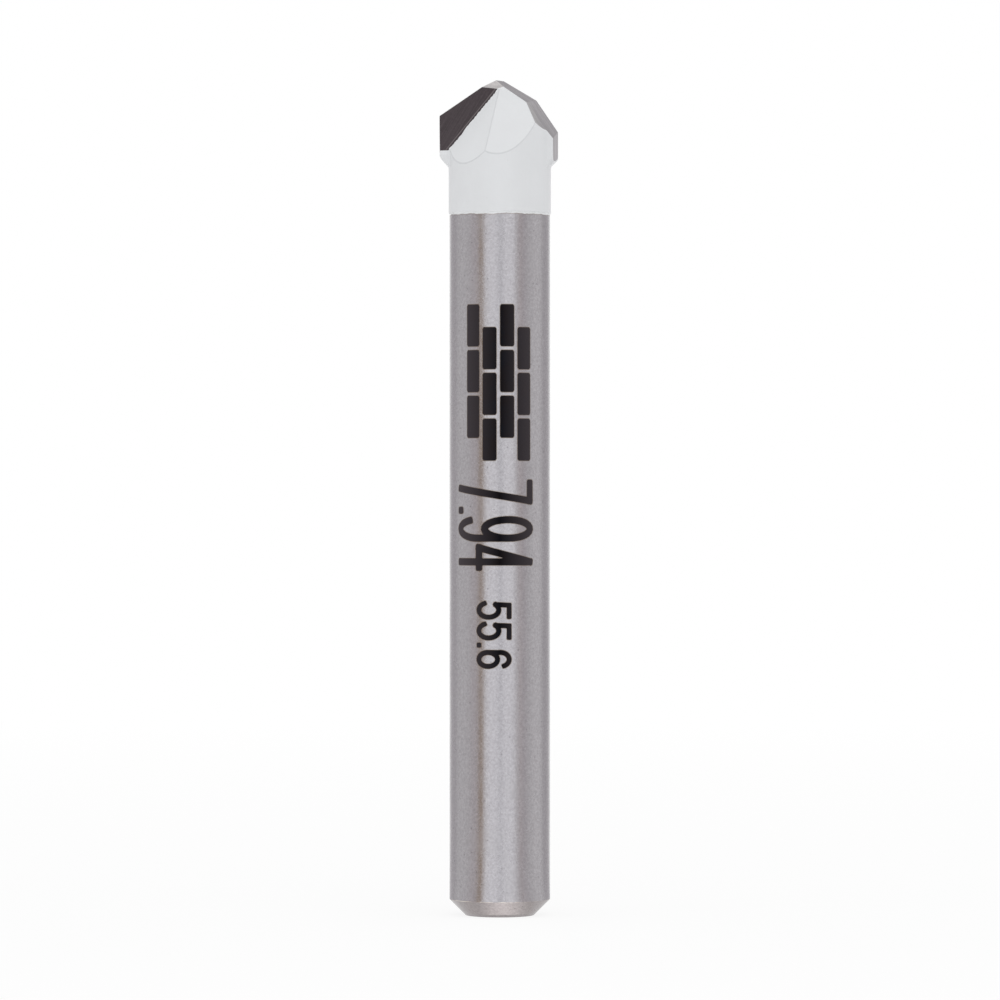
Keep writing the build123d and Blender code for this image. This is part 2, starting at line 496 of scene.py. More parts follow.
ground_carbide, tree, shader, place = start_material("ground_carbide")
grains = use_group(tree, metal_grain, Vector=place, Grain_Size=0.16 * MM)
lines = use_group(tree, grinding_lines, Vector=place, Across=ACROSS_LINES, Line_Width=0.26 * MM)
lined = toned(tree, lines["Lines"], contrast=0.60)
ground_tone = toned(tree, grains["Grain"], contrast=0.32, middle=lined)
ground_colour = mix_node(tree, ground_tone, CARBIDE, CARBIDE_LIGHT)
# Painted reflection: the gash and a strip of the corner bevel are painted lighter.
from_front = distance_from(tree, place, FRONT_FACE)
by_front = range_node(tree, from_front, STRIP_WHOLE, STRIP_END, STRIP_STRENGTH, 0.0)
on_strip = math_node(tree, "MULTIPLY", on_face(tree, CORNER_BEVEL), by_front)
painted_reflection = math_node(tree, "ADD", on_face(tree, CENTRE_GASH), on_strip, clamp=True)
ground_colour = mix_node(tree, painted_reflection, ground_colour, PAINTED_REFLECTION_TINT, "MULTIPLY")
print("gash points to", [round(part, 2) for part in direction(*CENTRE_GASH)])

# %% [markdown]
# The two rake faces are lapped, with fine streaks, and painted nearly black, a painted reflection. A
# thin painted highlight runs along each of them, a little way from the valley beside it.

# %% Head: lapped rake faces
PLAIN_RAKE = (251.0, 10.65)
BEVELLED_RAKE = (77.6, 12.9)
VALLEY_FACE = (0.85, 225.5, 62.8)
RAKE_DARK_REFLECTION = (0.044, 0.036, 0.039, 1.0)
RAKE_DARK_REFLECTION_LIGHT = (0.086, 0.072, 0.077, 1.0)
RAKE_EDGE_HIGHLIGHT = (0.190, 0.170, 0.170, 1.0)
ACROSS_STREAKS = (0.85, 0.0, -0.53)
LINE_TO_VALLEY = 0.150 * MM
LINE_INNER, LINE_OUTER = 0.006 * MM, 0.024 * MM
LINE_STRENGTH = 0.60


def turned(face):
    """The same face on the opposite side of the axis."""
    return (face[0], face[1] + 180.0, face[2])


streaks = use_group(tree, grinding_lines, Vector=place, Across=ACROSS_STREAKS, Line_Width=0.065 * MM)
streaked = toned(tree, streaks["Lines"], contrast=0.30)
lapped_tone = toned(tree, grains["Grain"], contrast=0.15, middle=streaked)
# Painted reflection: the rake faces are painted nearly black.
dark_reflection_colour = mix_node(tree, lapped_tone, RAKE_DARK_REFLECTION, RAKE_DARK_REFLECTION_LIGHT)
valleys = math_node(
    tree, "MINIMUM", distance_from(tree, place, VALLEY_FACE),
    distance_from(tree, place, turned(VALLEY_FACE)),
)
# Painted highlight: a thin bright line along each rake face.
off_line = apart(tree, valleys, LINE_TO_VALLEY)
rake_highlight_line = range_node(tree, off_line, LINE_INNER, LINE_OUTER, LINE_STRENGTH, 0.0)
dark_reflection_colour = mix_node(tree, rake_highlight_line, dark_reflection_colour, RAKE_EDGE_HIGHLIGHT)
lapped = math_node(tree, "ADD", on_face(tree, PLAIN_RAKE), on_face(tree, BEVELLED_RAKE), clamp=True)
bare_colour = mix_node(tree, lapped, ground_colour, dark_reflection_colour)
print("rake faces point to", PLAIN_RAKE[0], "and", BEVELLED_RAKE[0], "degrees")

# %% [markdown]
# The paint of a valley creeps over the edge of the rake face beside it, here a little more and there a
# little less. Close to the valley, nearer than a limit that a noise moves, the rake face is white.

# %% Head: crept paint and finish
CREEP_LEAST = 0.055 * MM
CREEP_MOST = 0.095 * MM
CREEP_WAVE = 0.30 * MM
CREEP_LOW, CREEP_HIGH = 0.35, 0.65

creep_edge = noise_node(tree, place, 1.0 / CREEP_WAVE, detail=3.0, roughness=0.6)
creep_edge = range_node(tree, creep_edge, CREEP_LOW, CREEP_HIGH, CREEP_LEAST, CREEP_MOST)
crept = math_node(tree, "MULTIPLY", math_node(tree, "LESS_THAN", valleys, creep_edge), lapped)
head_colour = mix_node(tree, crept, bare_colour, PAINT)
bare = math_node(tree, "SUBTRACT", 1.0, crept)
roughness = varied(tree, grains["Grain"], sway=0.03, middle=0.33)
set_inputs(tree, shader, Base_Color=head_colour, Metallic=bare, Roughness=roughness)
grooves = math_node(tree, "ADD", grains["Grain"], lines["Lines"])
add_bump(tree, shader, grooves, distance=0.0004 * MM)
dress("carbide_head", ground_carbide)

# %% [markdown]
# The coat is white enamel. It is very even, with a slight orange peel and a few specks of dust. It has
# run together at its lower rim, and there it is painted lighter, a painted light that cancels the shade.

# %% Coat: white enamel
ENAMEL = (0.668, 0.677, 0.691, 1.0)
ENAMEL_LIGHT = (0.688, 0.699, 0.714, 1.0)
DUST = (0.35, 0.33, 0.30, 1.0)
RIM_WHOLE, RIM_END = 0.02 * MM, 0.055 * MM

white_enamel, tree, shader, place = start_material("white_enamel")
peel = use_group(tree, metal_grain, Vector=place, Grain_Size=0.35 * MM, Cloud_Size=1.8 * MM)
paint_tone = mix_node(tree, toned(tree, peel["Clouds"], contrast=0.35), ENAMEL, ENAMEL_LIGHT)
dust = use_group(tree, specks, Vector=place, Spacing=0.8 * MM, Core=0.03, Rim=0.07, Strength=0.10)
paint_tone = mix_node(tree, dust["Mask"], paint_tone, DUST)
height = height_above_floor(tree, place)
# Painted light: the coat's lower rim is lighter, to cancel the shade along it.
coat_rim_painted_light = range_node(tree, height, paint_edge + RIM_WHOLE, paint_edge + RIM_END, 1.0, 0.0)
paint_tone = mix_node(tree, coat_rim_painted_light, paint_tone, PAINT_RIM_PAINTED_LIGHT)
set_inputs(tree, shader, Roughness=0.42, Specular_IOR_Level=0.35)
add_bump(tree, shader, peel["Grain"], distance=0.0012 * MM)
print("enamel from", ENAMEL[:3], "to", ENAMEL_LIGHT[:3])

# %% [markdown]
# Where two pressed faces meet, a faint grey line of painted shade runs along each edge: round the
# scallops that the pyramid faces cut in the round neck, and down the ridge between them. Each line is
# where a point is close to both of the surfaces that meet there.

# %% Coat: painted shade on the edges
ENAMEL_CREASE_SHADE = (0.560, 0.572, 0.585, 1.0)
COAT_THICKNESS = 0.06 * MM
CREASE_WIDTH = 0.040 * MM
CREASE_STRENGTH = 0.75

faces = [VALLEY_FACE, FRONT_FACE, turned(VALLEY_FACE), turned(FRONT_FACE)]
gaps = [distance_from(tree, place, face, COAT_THICKNESS) for face in faces]
from_axis = vector_node(tree, "LENGTH", vector_node(tree, "MULTIPLY", place, (1.0, 1.0, 0.0)))
from_neck = apart(tree, from_axis, shank_radius + COAT_THICKNESS)
pairs = [(gap, from_neck) for gap in gaps] + [(gaps[0], gaps[1]), (gaps[2], gaps[3])]
creases = 0.0
for one, two in pairs:
    line = use_group(tree, crease, Distance_One=one, Distance_Two=two, Width=CREASE_WIDTH)["Mask"]
    creases = math_node(tree, "MAXIMUM", line, creases)
# Painted shade along the edges and the ridge.
faint = math_node(tree, "MULTIPLY", creases, CREASE_STRENGTH)
set_inputs(tree, shader, Base_Color=mix_node(tree, faint, paint_tone, ENAMEL_CREASE_SHADE))
print("edges drawn", len(pairs))
dress("paint_coat", white_enamel)

# %% [markdown]
# The laser leaves a black oxide in the steel, in places a little brown and in places a little blue.
# Towards the sides of the round shank the oxide is painted paler, a painted sheen for the light that
# the curved steel reflects there.

# %% Marks: black oxide
OXIDE_BROWN = (0.004, 0.002, 0.002, 1.0)
OXIDE_BLUE = (0.002, 0.003, 0.006, 1.0)
OXIDE_PAINTED_SHEEN = (0.058, 0.049, 0.054, 1.0)
SHEEN_REACH = 2.8 * MM

laser_oxide, tree, shader, place = start_material("laser_oxide")
grains = use_group(tree, metal_grain, Vector=place, Grain_Size=0.10 * MM, Cloud_Size=0.8 * MM)
oxide = mix_node(tree, toned(tree, grains["Clouds"], contrast=0.4), OXIDE_BROWN, OXIDE_BLUE)
aside = math_node(tree, "ABSOLUTE", vector_node(tree, "DOT_PRODUCT", place, (1.0, 0.0, 0.0)))
# Painted sheen: the oxide is paler towards both sides.
side_sheen = range_node(tree, aside, 0.0, SHEEN_REACH, 0.0, 1.0)
oxide = mix_node(tree, side_sheen, oxide, OXIDE_PAINTED_SHEEN)
roughness = varied(tree, grains["Grain"], sway=0.05, middle=0.30)
set_inputs(tree, shader, Base_Color=oxide, Roughness=roughness, Specular_IOR_Level=0.03)
print("material", laser_oxide.name)

# %% [markdown]
# The steel round each stroke got hot too. It stays metal, but has a thin brown rim, the heat tint.

# %% Marks: heat tint
TINT_BROWN = (0.175, 0.135, 0.110, 1.0)
TINT_PALE = (0.265, 0.235, 0.215, 1.0)

heat_tint, tree, shader, place = start_material("heat_tint")
grains = use_group(tree, metal_grain, Vector=place, Grain_Size=0.10 * MM, Cloud_Size=0.5 * MM)
tint_tone = mix_node(tree, toned(tree, grains["Clouds"], contrast=0.4), TINT_BROWN, TINT_PALE)
roughness = varied(tree, grains["Grain"], sway=0.05, middle=0.30)
set_inputs(tree, shader, Base_Color=tint_tone, Metallic=1.0, Roughness=roughness)
print("material", heat_tint.name)

# %% [markdown]
# The marks are numerals made of strokes, as a laser marker draws them: a bead that follows a centre
# line. Each stroke is a list of points in a box one unit wide and one unit high.

# %% Centre lines of the numerals
def arc(centre, radii, start, end, steps=28):
    angles = np.radians(np.linspace(start, end, steps))
    return [(centre[0] + radii[0] * math.cos(a), centre[1] + radii[1] * math.sin(a)) for a in angles]


six = arc((0.5, 0.72), (0.5, 0.28), 25, 180) + arc((0.5, 0.31), (0.5, 0.31), 180, 540)
nine = [(1.0 - x, 1.0 - y) for x, y in six]
five = [(0.96, 1.0), (0.10, 1.0), (0.05, 0.56)] + arc((0.46, 0.33), (0.54, 0.33), 128, -155)
NUMERALS = {
    "5": [five],
    "6": [six],
    "9": [nine],
    "7": [[(0.0, 1.0), (1.0, 1.0), (0.30, 0.0)]],
    "4": [[(0.72, 0.0), (0.72, 1.0), (0.0, 0.30), (1.0, 0.30)]],
    ".": [[(0.5, 0.0), (0.5, 0.002)]],
}
print("numerals", sorted(NUMERALS))

# %% [markdown]
# A stroke's ink is every point nearer to the centre line than half the bead's width. That distance
# gives clean outlines with rounded ends, and strokes that cross join without overlapping. The marks
# are worked out flat and then wrapped round the shank.

# %% Helpers: ink and shank
def wrap(across, height, out):
    angle = across / shank_radius
    return ((shank_radius + out) * math.sin(angle), -(shank_radius + out) * math.cos(angle), height)


def ink_distance(points_x, points_z, strokes):
    """How far each point is from the nearest centre line. Fourth powers square the ends a little."""
    nearest = np.full(points_x.shape, np.inf)
    for stroke in strokes:
        for (x0, z0), (x1, z1) in zip(stroke, stroke[1:]):
            length = max(math.hypot(x1 - x0, z1 - z0), 1e-9)
            ux, uz = (x1 - x0) / length, (z1 - z0) / length
            along = (points_x - x0) * ux + (points_z - z0) * uz
            past_end = along - np.clip(along, 0.0, length)
            beside = (points_x - x0) * uz - (points_z - z0) * ux
            nearest = np.minimum(nearest, (past_end**4 + beside**4) ** 0.25)
    return nearest


print("front of the shank", [round(value / MM, 2) for value in wrap(0.0, 0.0, 0.0)])

# %% [markdown]
# The distance is measured on a fine grid. Each cell with ink becomes one face, cut where the outline
# runs through it. The sheet gets a thickness that sinks into the steel: the same faces again underneath,
# and a wall along every edge that only one face has. So the mark is closed.

# %% Helper: the mesh of a mark
SUNK = 0.010 * MM


def mark_mesh(name, strokes, bead, step, proud):
    """The strokes are in metres, across the shank and along it."""
    every = np.array([p for stroke in strokes for p in stroke])
    low, high = every.min(0) - bead, every.max(0) + bead
    xs = np.arange(low[0], high[0] + step, step)
    zs = np.arange(low[1], high[1] + step, step)
    grid_x, grid_z = np.meshgrid(xs, zs, indexing="ij")
    depth = bead / 2 - ink_distance(grid_x, grid_z, strokes)
    made, flat, faces = {}, [], []

    def vertex(key, x, z):
        if key not in made:
            made[key] = len(flat)
            flat.append((x, z))
        return made[key]

    for i in range(len(xs) - 1):
        for j in range(len(zs) - 1):
            corners = [(i, j), (i + 1, j), (i + 1, j + 1), (i, j + 1)]
            if max(depth[c] for c in corners) <= 0:
                continue
            face = []
            for a, b in zip(corners, corners[1:] + corners[:1]):
                if depth[a] > 0:
                    face.append(vertex((a,), xs[a[0]], zs[a[1]]))
                if (depth[a] > 0) != (depth[b] > 0):
                    t = depth[a] / (depth[a] - depth[b])
                    key = tuple(sorted((a, b)))
                    face.append(vertex(key, xs[a[0]] + t * (xs[b[0]] - xs[a[0]]),
                                       zs[a[1]] + t * (zs[b[1]] - zs[a[1]])))
            if len(face) > 2:
                faces.append(face)
    top = [wrap(x, z, proud) for x, z in flat]
    under = [wrap(x, z, -SUNK) for x, z in flat]
    count = len(flat)
    edges = {(a, b) for face in faces for a, b in zip(face, face[1:] + face[:1])}
    walls = [(b, a, a + count, b + count) for a, b in edges if (b, a) not in edges]
    bottoms = [[v + count for v in reversed(face)] for face in faces]
    mesh = bpy.data.meshes.new(name)
    mesh.from_pydata(top + under, [], faces + bottoms + walls)
    mesh.validate()
    return mesh


print("marks sink", round(SUNK / MM, 3))

# %% [markdown]
# Every mark is two pieces of the same shape. The black one stands a little proud, and under it lies
# the heat tint, which is wider by a thin rim.

# %% Helper: a number on the shank
PROUD = 0.004 * MM
TINT_PROUD = 0.002 * MM
TINT_RIM = 0.035 * MM


def place_number(name, text, start, widths, gap, low, high, bead, step):
    """The text reads downwards from start, and the tops of its numerals point right."""
    strokes, here = [], start
    for character in text:
        width = widths[character]
        for stroke in NUMERALS[character]:
            strokes.append([
                (low + bead / 2 + y * (high - low - bead), here - bead / 2 - x * (width - bead))
                for x, y in stroke
            ])
        here -= width + gap
    layers = [
        (name, bead, PROUD, laser_oxide),
        (name + "_tint", bead + 2 * TINT_RIM, TINT_PROUD, heat_tint),
    ]
    for label, width, proud, finish in layers:
        piece = add_object(label, mark_mesh(label, strokes, width, step, proud))
        piece.data.materials.append(finish)
        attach(piece, "root")
        print(label, len(piece.data.polygons), "faces, down to", round(here / MM, 2))


print("tint rim", round(TINT_RIM / MM, 3))

# %% [markdown]
# Two plain numbers are marked, both in millimetres. The large one is the width that the bit cuts, and
# the small one is its length. Both read downwards, with their tops to the right.

# %% The cutting width and the length
place_number(
    "cutting_width_mark", "7.94", 29.00 * MM,
    widths={"7": 1.64 * MM, ".": 0.44 * MM, "9": 1.68 * MM, "4": 1.76 * MM}, gap=0.17 * MM,
    low=-3.17 * MM, high=2.35 * MM, bead=0.46 * MM, step=0.055 * MM,
)
place_number(
    "length_mark", "55.6", 20.95 * MM,
    widths={"5": 1.20 * MM, ".": 0.30 * MM, "6": 1.24 * MM}, gap=0.17 * MM,
    low=-1.58 * MM, high=0.78 * MM, bead=0.32 * MM, step=0.04 * MM,
)

# %% [markdown]
# Above the numbers there is a pictogram for what the bit drills: a piece of wall in running bond.
# Bricks repeat by a rule, so Geometry Nodes lay them. The tree's sizes are named inputs.

# %% Running bond: inputs
def parts_of_position(tree):
    parts = tree.nodes.new("ShaderNodeSeparateXYZ")
    tree.links.new(tree.nodes.new("GeometryNodeInputPosition").outputs[0], parts.inputs[0])
    return parts.outputs["X"], parts.outputs["Y"], parts.outputs["Z"]


def move_points(tree, geometry, **where):
    """Give a Position to put the points there, or an Offset to shift them."""
    node = tree.nodes.new("GeometryNodeSetPosition")
    set_inputs(tree, node, Geometry=geometry, **where)
    return node.outputs["Geometry"]


bond = bpy.data.node_groups.new("running_bond", "GeometryNodeTree")
bond.is_modifier = True
bond.interface.new_socket("Geometry", in_out="INPUT", socket_type="NodeSocketGeometry")
for label, kind in (("Courses", "Int"), ("Bricks In Course", "Int"), ("Brick Length", "Float"),
                    ("Brick Height", "Float"), ("Joint", "Float"), ("Corner", "Float"), ("Top", "Float"),
                    ("Middle", "Float"), ("Proud", "Float"), ("Shank Radius", "Float"),
                    ("Material", "Material")):
    bond.interface.new_socket(label, in_out="INPUT", socket_type="NodeSocket" + kind)
bond.interface.new_socket("Geometry", in_out="OUTPUT", socket_type="NodeSocketGeometry")
given = bond.nodes.new("NodeGroupInput").outputs
results = bond.nodes.new("NodeGroupOutput").inputs

print("inputs", [item.name for item in bond.interface.items_tree if item.in_out == "INPUT"])

# %% [markdown]
# Each brick gets one point of a line. Its number gives its course and its place in the course, and
# every second course is shifted by half a brick.

# %% Running bond: where the bricks lie
count = math_node(bond, "MULTIPLY", given["Courses"], given["Bricks In Course"])
points = bond.nodes.new("GeometryNodeMeshLine")
set_inputs(bond, points, Count=count)
number = bond.nodes.new("GeometryNodeInputIndex").outputs[0]
course = math_node(bond, "FLOOR", math_node(bond, "DIVIDE", number, given["Bricks In Course"]))
before = math_node(bond, "MULTIPLY", course, given["Bricks In Course"])
turn = math_node(bond, "SUBTRACT", number, before)
half_step = math_node(bond, "MULTIPLY", math_node(bond, "MODULO", course, 2.0), 0.5)
pitch_along = math_node(bond, "ADD", given["Brick Length"], given["Joint"])
pitch_across = math_node(bond, "ADD", given["Brick Height"], given["Joint"])
down = math_node(bond, "MULTIPLY", math_node(bond, "ADD", turn, half_step), pitch_along)
middle_course = math_node(bond, "MULTIPLY", math_node(bond, "SUBTRACT", given["Courses"], 1.0), 0.5)
across = math_node(bond, "MULTIPLY", math_node(bond, "SUBTRACT", course, middle_course), pitch_across)
across = math_node(bond, "ADD", across, given["Middle"])
first_centre = math_node(bond, "SUBTRACT", given["Top"], math_node(bond, "MULTIPLY", pitch_along, 0.5))
laid = vector_of(bond, x=across, z=math_node(bond, "SUBTRACT", first_centre, down))
spread = move_points(bond, points.outputs["Mesh"], Position=laid)
print("tree", bond.name, len(bond.nodes), "nodes")

# %% [markdown]
# One brick is a thin block, cut fine enough across to follow the shank's curve. Its four corners are
# rounded in the sheet: near a corner the upper and the lower rim draw back along a quarter circle.

# %% Running bond: one brick
BRICK_CUTS = 16

thickness = math_node(bond, "ADD", given["Proud"], SUNK)
block = bond.nodes.new("GeometryNodeMeshCube")
size = vector_of(bond, given["Brick Height"], thickness, given["Brick Length"])
set_inputs(bond, block, Size=size, Vertices_X=BRICK_CUTS, Vertices_Y=2, Vertices_Z=3)
flat_x, flat_y, flat_z = parts_of_position(bond)
half_height = math_node(bond, "MULTIPLY", given["Brick Height"], 0.5)
from_middle = math_node(bond, "ABSOLUTE", flat_x)
corner_start = math_node(bond, "SUBTRACT", half_height, given["Corner"])
into_corner = math_node(bond, "MAXIMUM", math_node(bond, "SUBTRACT", from_middle, corner_start), 0.0)
square = math_node(bond, "MULTIPLY", given["Corner"], given["Corner"])
left_over = math_node(bond, "SUBTRACT", square, math_node(bond, "MULTIPLY", into_corner, into_corner))
round_height = math_node(bond, "SQRT", math_node(bond, "MAXIMUM", left_over, 0.0))
drop = math_node(bond, "SUBTRACT", given["Corner"], round_height)
drop = math_node(bond, "MULTIPLY", drop, math_node(bond, "SIGN", flat_z))
lower = vector_of(bond, z=math_node(bond, "MULTIPLY", drop, -1.0))
brick = move_points(bond, block.outputs["Mesh"], Offset=lower)
lay = bond.nodes.new("GeometryNodeInstanceOnPoints")
set_inputs(bond, lay, Points=spread, Instance=brick)
real = bond.nodes.new("GeometryNodeRealizeInstances")
set_inputs(bond, real, Geometry=lay.outputs["Instances"])
print("tree", bond.name, len(bond.nodes), "nodes")

# %% [markdown]
# At last the flat wall is bent round the shank, just as the numbers are: the distance across becomes
# an angle, and the thickness a distance from the axis.

# %% Running bond: bend and finish
flat_x, flat_y, flat_z = parts_of_position(bond)
angle = math_node(bond, "DIVIDE", flat_x, given["Shank Radius"])
outwards = math_node(bond, "SUBTRACT", math_node(bond, "MULTIPLY", thickness, 0.5), SUNK)
outwards = math_node(bond, "SUBTRACT", outwards, flat_y)
reach = math_node(bond, "ADD", given["Shank Radius"], outwards)
to_side = math_node(bond, "MULTIPLY", reach, math_node(bond, "SINE", angle))
to_front = math_node(bond, "MULTIPLY", reach, math_node(bond, "COSINE", angle))
bent = vector_of(bond, to_side, math_node(bond, "MULTIPLY", to_front, -1.0), flat_z)
bend = move_points(bond, real.outputs["Geometry"], Position=bent)
finish = bond.nodes.new("GeometryNodeSetMaterial")
set_inputs(bond, finish, Geometry=bend, Material=given["Material"])
bond.links.new(finish.outputs["Geometry"], results["Geometry"])
print("tree", bond.name, len(bond.nodes), "nodes")

# %% [markdown]
# The modifier's inputs are set by their identifiers before the object is looked at for the first time.
# The result becomes a plain mesh, and the modifier is dropped.

# %% The wall pictogram
BRICK_LENGTH = 2.78 * MM
BRICK_HEIGHT = 0.94 * MM
JOINT = 0.24 * MM
BRICK_CORNER = 0.12 * MM
WALL_TOP = 40.70 * MM
WALL_MIDDLE = -0.10 * MM


def lay_wall(name, rim, proud, finish):
    """The rim makes every brick larger, and the joints between them smaller by as much."""
    base = add_object(name + "_base", bpy.data.meshes.new(name + "_base"))
    layer = base.modifiers.new("running_bond", "NODES")
    layer.node_group = bond
    values = {
        "Courses": 4, "Bricks In Course": 3, "Brick Length": BRICK_LENGTH + 2 * rim,
        "Brick Height": BRICK_HEIGHT + 2 * rim, "Joint": JOINT - 2 * rim,
        "Corner": BRICK_CORNER + rim, "Top": WALL_TOP, "Middle": WALL_MIDDLE, "Proud": proud,
        "Shank Radius": shank_radius, "Material": finish,
    }
    for item in bond.interface.items_tree:
        if item.in_out == "INPUT" and item.name in values:
            layer[item.identifier] = values[item.name]
    depsgraph = bpy.context.evaluated_depsgraph_get()
    mesh = bpy.data.meshes.new_from_object(base.evaluated_get(depsgraph))
    bpy.data.objects.remove(base)
    piece = add_object(name, mesh)
    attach(piece, "root")
    print(name, len(mesh.polygons), "faces")


lay_wall("wall_pictogram", 0.0, PROUD, laser_oxide)
lay_wall("wall_pictogram_tint", TINT_RIM, TINT_PROUD, heat_tint)

# %% [markdown]
# The studio is a pale floor under an even, white surround. Both look white to the camera and in
# reflections, through Light Path, so the lamps needn't be strong.

# %% Helpers for the studio
def seen_as_white(tree):
    """One for rays of the camera, of reflections and through glass, and nought for all others."""
    path = tree.nodes.new("ShaderNodeLightPath")
    seen = math_node(tree, "MAXIMUM", path.outputs["Is Camera Ray"], path.outputs["Is Glossy Ray"])
    return math_node(tree, "MAXIMUM", seen, path.outputs["Is Transmission Ray"])


def empty_tree(owner):
    owner.use_nodes = True
    owner.node_tree.nodes.clear()
    return owner.node_tree


def show(tree, output, shader):
    set_inputs(tree, tree.nodes.new(output), Surface=shader.outputs[0])


def add_sheet(name, corners, faces):
    mesh = bpy.data.meshes.new(name)
    mesh.from_pydata(corners, [], faces)
    return add_object(name, mesh)


print("studio helpers ready")

# %% [markdown]
# The floor still takes the object's shadow, because near the object some of its own pale surface
# shows.

# %% Floor
FLOOR_HALF = 2.0
FLOOR_PAINT = (0.86, 0.86, 0.86, 1.0)
SHADOW_NEAR = 0.03
SHADOW_FAR = 0.30
WHITE_SHARE_NEAR = 0.86

corners = [(x * FLOOR_HALF, y * FLOOR_HALF, 0.0) for x, y in ((-1, -1), (1, -1), (1, 1), (-1, 1))]
studio_floor = add_sheet("studio_floor", corners, [(0, 1, 2, 3)])
pale_floor = bpy.data.materials.new("pale_floor")
tree = empty_tree(pale_floor)
matt = tree.nodes.new("ShaderNodeBsdfDiffuse")
set_inputs(tree, matt, Color=FLOOR_PAINT)
glow = tree.nodes.new("ShaderNodeEmission")
from_bit = vector_node(tree, "LENGTH", tree.nodes.new("ShaderNodeTexCoord").outputs["Object"])
white_share = range_node(tree, from_bit, SHADOW_NEAR, SHADOW_FAR, WHITE_SHARE_NEAR, 1.0)
blend = tree.nodes.new("ShaderNodeMixShader")
set_inputs(tree, blend, Fac=math_node(tree, "MULTIPLY", seen_as_white(tree), white_share))
tree.links.new(matt.outputs[0], blend.inputs[1])
tree.links.new(glow.outputs[0], blend.inputs[2])
show(tree, "ShaderNodeOutputMaterial", blend)
studio_floor.data.materials.append(pale_floor)
print("floor", 2 * FLOOR_HALF, "metres wide")

# %% [markdown]
# The surround gives the object a little less light than its white look would, which leaves room for
# the lamps.

# %% Surround
SKY_LIGHT = 0.87
SKY_LOOK = 1.0

surround = bpy.data.worlds.new("surround")
bpy.context.scene.world = surround
tree = empty_tree(surround)
blend = tree.nodes.new("ShaderNodeMixShader")
set_inputs(tree, blend, Fac=seen_as_white(tree))
for number, strength in ((1, SKY_LIGHT), (2, SKY_LOOK)):
    sky = tree.nodes.new("ShaderNodeBackground")
    set_inputs(tree, sky, Color=(1.0, 1.0, 1.0, 1.0), Strength=strength)
    tree.links.new(sky.outputs[0], blend.inputs[number])
show(tree, "ShaderNodeOutputWorld", blend)
print("surround", SKY_LIGHT, "as light and", SKY_LOOK, "to the eye")

# %% [markdown]
# Two soft panels stand left and right of the camera, and a third hangs above it. They light the paint
# nearly evenly. Reflections don't show them, because the cards in the next cell take their place.

# %% Soft panels
def studio_place(azimuth, distance, height):
    """Azimuths in the studio are measured from the front, and grow to the right."""
    a = math.radians(azimuth)
    return (distance * math.sin(a), -distance * math.cos(a), height)


def soft_panel(name, azimuth, distance, height, wide, tall, radiance):
    """A lamp that faces the axis. Its energy is four times its area times its radiance."""
    lamp = bpy.data.lights.new(name, "AREA")
    lamp.shape, lamp.size, lamp.size_y = "RECTANGLE", wide, tall
    lamp.energy = 4 * wide * tall * radiance
    piece = add_object(name, lamp)
    piece.location = studio_place(azimuth, distance, height)
    level = math.hypot(piece.location.x, piece.location.y)
    piece.rotation_euler = (math.atan2(level, height), 0.0, math.radians(azimuth))
    piece.visible_glossy = False
    return piece


panels = [
    # name, azimuth, distance, height, then the panel's width, height and radiance
    soft_panel("left_panel", -62.0, 0.50, 0.15, 0.30, 0.50, 0.46),
    soft_panel("right_panel", 60.0, 0.50, 0.15, 0.30, 0.50, 0.38),
    soft_panel("top_panel", 8.0, 0.28, 0.53, 0.34, 0.34, 0.94),
]
print("panels", [panel.name for panel in panels])

# %% [markdown]
# Round steel shows its surroundings as stripes, and each stripe is one direction. So the reflections
# come from upright cards that stand round the bit. Most of them run over the floor to the bit's foot,
# because the lower half of the shank mirrors the floor. A bright card in front gives the band down the
# middle, with a faint gap for the camera, and a dark warm one gives the brown line beside it.

# %% Cards
FLOOR_GAP = 0.15 * MM
CARD_FOOT = 5.4 * MM
CARD_FAR = 0.45
GAP_FAR = 0.44
CARD_STEP = 4


def standing(top=0.30, far=CARD_FAR):
    """The side view of a card that runs over the floor and then up: distances and heights."""
    return [(CARD_FOOT, FLOOR_GAP), (far, FLOOR_GAP), (far, top)]


def card(name, start, end, colour, profile):
    """The profile is swept from one azimuth to the other, in steps of some degrees."""
    steps = max(2, int((end - start) / CARD_STEP))
    azimuths = [start + (end - start) * i / steps for i in range(steps + 1)]
    corners = [studio_place(a, distance, height) for distance, height in profile for a in azimuths]
    row = steps + 1
    faces = [(r * row + i, r * row + i + 1, (r + 1) * row + i + 1, (r + 1) * row + i)
             for r in range(len(profile) - 1) for i in range(steps)]
    piece = add_sheet(name, corners, faces)
    material = bpy.data.materials.new(name)
    tree = empty_tree(material)
    glow = tree.nodes.new("ShaderNodeEmission")
    set_inputs(tree, glow, Color=(*colour, 1.0))
    show(tree, "ShaderNodeOutputMaterial", glow)
    piece.data.materials.append(material)
    piece.visible_camera = piece.visible_diffuse = piece.visible_shadow = False
    return piece


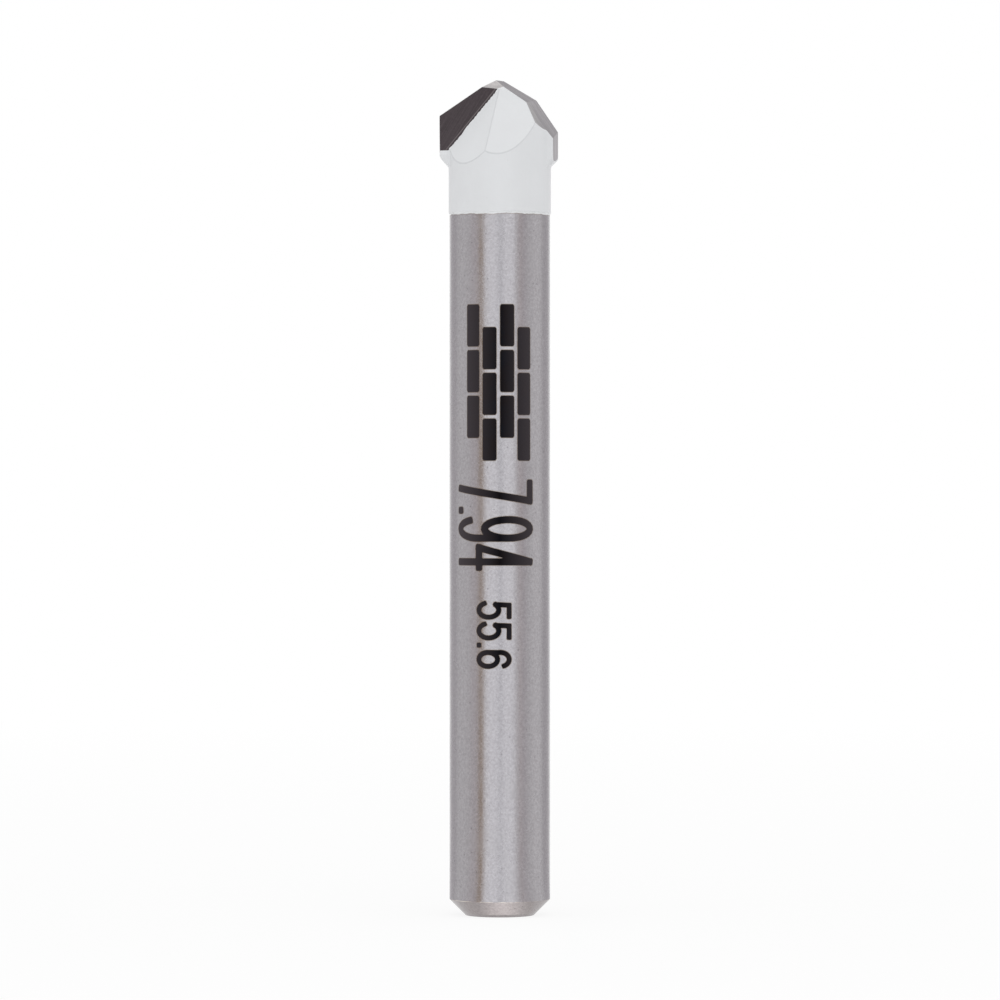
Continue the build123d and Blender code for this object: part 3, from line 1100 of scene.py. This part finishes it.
cards = [
    # name, first and last azimuth, colour, side view
    card("front_card", -37.0, 35.0, (1.47, 1.50, 1.52), standing()),
    card("camera_gap", -2.5, 5.5, (0.84, 0.86, 0.90), [(CARD_FOOT, FLOOR_GAP), (GAP_FAR, FLOOR_GAP)]),
    card("high_camera_gap", -2.5, 5.5, (0.96, 0.98, 1.01), [(GAP_FAR, FLOOR_GAP), (GAP_FAR, 0.30)]),
    card("warm_card", -48.5, -37.5, (0.47, 0.31, 0.165), standing(top=0.10)),
    card("left_card", -70.0, -50.0, (0.92, 0.88, 0.89), standing()),
    card("left_side_card", -108.0, -82.0, (1.03, 1.03, 1.03), standing()),
    card("right_card", 44.0, 64.0, (0.84, 0.81, 0.83), standing()),
    card("right_warm_card", 43.0, 51.0, (0.86, 0.775, 0.755), standing(far=GAP_FAR)),
    card("right_side_card", 80.0, 108.0, (1.12, 1.12, 1.12), standing()),
    card("back_left_card", -152.0, -117.0, (0.78, 0.76, 0.78), standing()),
    card("back_right_card", 114.0, 150.0, (0.76, 0.74, 0.76), standing(top=0.20)),
    card("back_card", 155.0, 202.0, (1.30, 1.30, 1.30), standing(top=0.11)),
    card("high_back_card", 150.0, 185.0, (0.70, 0.69, 0.70), [(CARD_FAR, 0.16), (CARD_FAR, 0.55)]),
    card("overhead_card", -180.0, 180.0, (1.58, 1.56, 1.53), [(0.0, 0.60), (0.25, 0.60)]),
]
print("cards", len(cards))

# %% [markdown]
# Seen from the front, the tail's chamfer mirrors the floor straight below it. That floor gets its
# light from the front, so a small card lies there that fades out to both sides.

# %% Foot card
FOOT_CARD_NEAR = 2.45 * MM
FOOT_CARD_FAR = 5.3 * MM
BRIGHTEST = math.radians(6.0)
FADE = math.radians(46.0)
FRONT_STRENGTH = 1.57
SIDE_STRENGTH = 0.92

foot_card = card(
    "foot_card", -60.0, 60.0, (1.0, 0.985, 0.975),
    [(FOOT_CARD_NEAR, FLOOR_GAP), (FOOT_CARD_FAR, FLOOR_GAP)],
)
tree = foot_card.data.materials[0].node_tree
on_card = tree.nodes.new("ShaderNodeSeparateXYZ")
tree.links.new(tree.nodes.new("ShaderNodeTexCoord").outputs["Object"], on_card.inputs[0])
frontwards = math_node(tree, "MULTIPLY", on_card.outputs["Y"], -1.0)
azimuth = math_node(tree, "ARCTAN2", on_card.outputs["X"], frontwards)
off_front = apart(tree, azimuth, BRIGHTEST)
strength = range_node(tree, off_front, 0.0, FADE, FRONT_STRENGTH, SIDE_STRENGTH, smooth=True)
set_inputs(tree, tree.nodes["Emission"], Strength=strength)
print("foot card brightest at", round(math.degrees(BRIGHTEST), 1), "degrees")

# %% [markdown]
# The photograph was taken square on, at half the bit's height and about 35 centimetres from it. The
# camera stands at that place. The picture is 1000 pixels wide, and measured in such pixels the lens
# has a focal length of 5200, which gives a narrow angle of view.

# %% Camera
CAMERA_DISTANCE = 346.67 * MM
CAMERA_HEIGHT = 27.65 * MM
CAMERA_ASIDE = 0.013 * MM
HALF_PICTURE = 500
FOCAL_LENGTH = 5200
VIEW_ANGLE = 2 * math.atan(HALF_PICTURE / FOCAL_LENGTH)

camera_data = bpy.data.cameras.new("photo_camera")
camera_data.sensor_fit = "HORIZONTAL"
camera_data.angle = VIEW_ANGLE
camera_data.clip_start = 0.01
camera = add_object("photo_camera", camera_data)
camera.location = (CAMERA_ASIDE, -CAMERA_DISTANCE, CAMERA_HEIGHT)
camera.rotation_euler = (math.pi / 2, 0.0, 0.0)
bpy.context.scene.camera = camera
bpy.context.scene.view_settings.view_transform = "Standard"
print("view angle", round(math.degrees(VIEW_ANGLE), 2))
